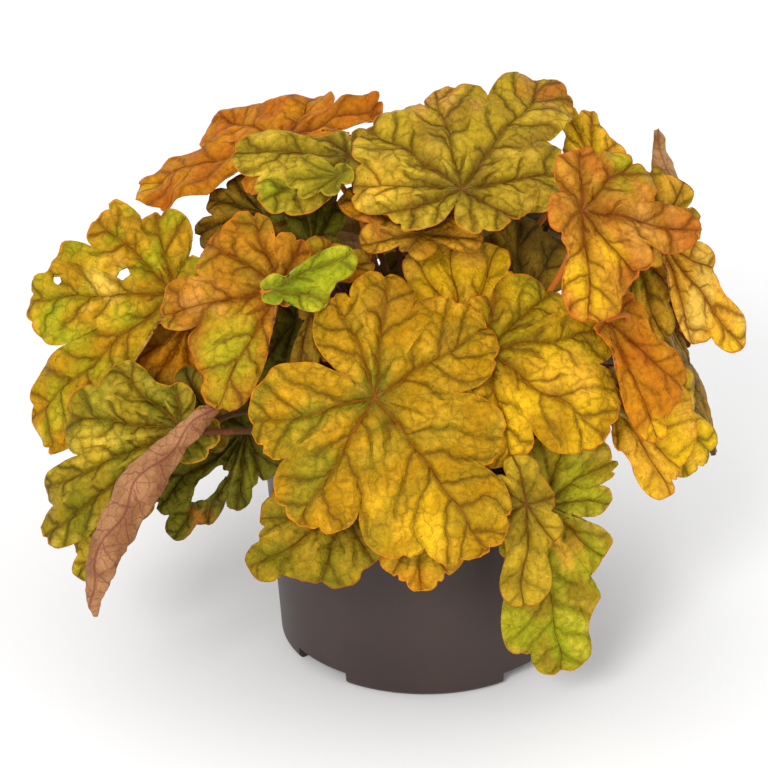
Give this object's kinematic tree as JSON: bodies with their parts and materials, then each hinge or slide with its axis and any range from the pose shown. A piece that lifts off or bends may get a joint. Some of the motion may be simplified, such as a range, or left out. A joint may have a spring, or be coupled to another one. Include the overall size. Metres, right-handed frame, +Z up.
{
  "type": "potted heuchera plant",
  "caption": "Potted heuchera: a loose mound of rounded, lobed and scalloped gold, green and orange leaves on thin reddish petioles, in a round nursery pot filled with compost.",
  "frame": {"origin": "middle of the pot's flat underside, on the surface the pot stands on", "axes": "+Z up along the pot's axis; -Y is the front, towards the viewer; +X is to the viewer's right"},
  "size_m": [0.2429, 0.2016, 0.2073],
  "materials": {
    "pot_plastic": "matte taupe-brown moulded polypropylene",
    "compost": "rough dark peat compost",
    "petiole": "smooth reddish-brown petioles on a woody crown",
    "leaf_gold": "golden yellow leaf with green veins, thin, softly shiny, waved and puckered",
    "leaf_green": "yellow-green leaf, thin, softly shiny, waved and puckered",
    "leaf_dark": "dark shaded green leaf, thin, softly shiny, waved and puckered",
    "leaf_orange": "orange-brown leaf, thin, softly shiny, waved and puckered",
    "leaf_salmon": "salmon and orange leaf, thin, softly shiny, waved and puckered",
    "leaf_olive": "olive leaf, thin, softly shiny, waved and puckered",
    "leaf_lime": "lime green leaf, thin, softly shiny, waved and puckered",
    "leaf_pink": "pinkish leaf underside, thin, softly shiny, waved and puckered",
    "leaf_tan": "tan leaf underside, thin, softly shiny, waved and puckered"
  },
  "bodies": {
    "root": {"pot": "pot_plastic", "compost": "compost", "crown": "petiole", "leaf_front_main": "leaf_gold", "leaf_right_mid": "leaf_gold", "leaf_centre_yellow": "leaf_gold", "leaf_top_centre": "leaf_green", "leaf_under_top": "leaf_olive", "leaf_left_upper_green": "leaf_green", "leaf_left_upper_tan": "leaf_lime", "leaf_left_upper_orange": "leaf_orange", "leaf_centre_left": "leaf_orange", "leaf_centre_lime": "leaf_lime", "leaf_centre_orange": "leaf_orange", "leaf_left_big": "leaf_gold", "leaf_left_under": "leaf_orange", "leaf_left_low": "leaf_green", "leaf_left_dark": "leaf_dark", "leaf_left_dark_upper": "leaf_dark", "leaf_dark_upper_left": "leaf_dark", "leaf_dark_upper_mid": "leaf_dark", "leaf_dark_upper_back": "leaf_dark", "leaf_right_top": "leaf_salmon", "leaf_right_edge": "leaf_orange", "leaf_right_back_top": "leaf_olive", "leaf_right_back_olive": "leaf_olive", "leaf_right_low_fold": "leaf_orange", "leaf_right_low_yellow": "leaf_lime", "leaf_right_low_front": "leaf_gold", "leaf_right_pale": "leaf_olive", "leaf_top_right_yellow": "leaf_gold", "leaf_right_hang": "leaf_green", "leaf_right_hang_fold": "leaf_olive", "leaf_low_left": "leaf_olive", "leaf_low_mid": "leaf_gold", "leaf_dark_inner_right": "leaf_dark", "leaf_inner_tan": "leaf_tan", "leaf_dark_inner_left": "leaf_dark", "leaf_left_low_back": "leaf_olive", "leaf_far_1": "leaf_orange", "leaf_far_2": "leaf_gold", "leaf_far_3": "leaf_green", "leaf_far_4": "leaf_olive", "leaf_far_5": "leaf_gold", "leaf_far_6": "leaf_orange", "leaf_far_7": "leaf_green", "leaf_far_8": "leaf_green", "leaf_far_9": "leaf_olive", "leaf_far_10": "leaf_gold", "leaf_far_11": "leaf_green", "leaf_far_12": "leaf_olive", "leaf_middle_1": "leaf_green", "leaf_middle_2": "leaf_olive", "leaf_middle_3": "leaf_olive", "leaf_middle_4": "leaf_dark", "leaf_left_roll": "leaf_pink", "leaf_right_fold_tip": "leaf_tan"}
  },
  "joints": []
}
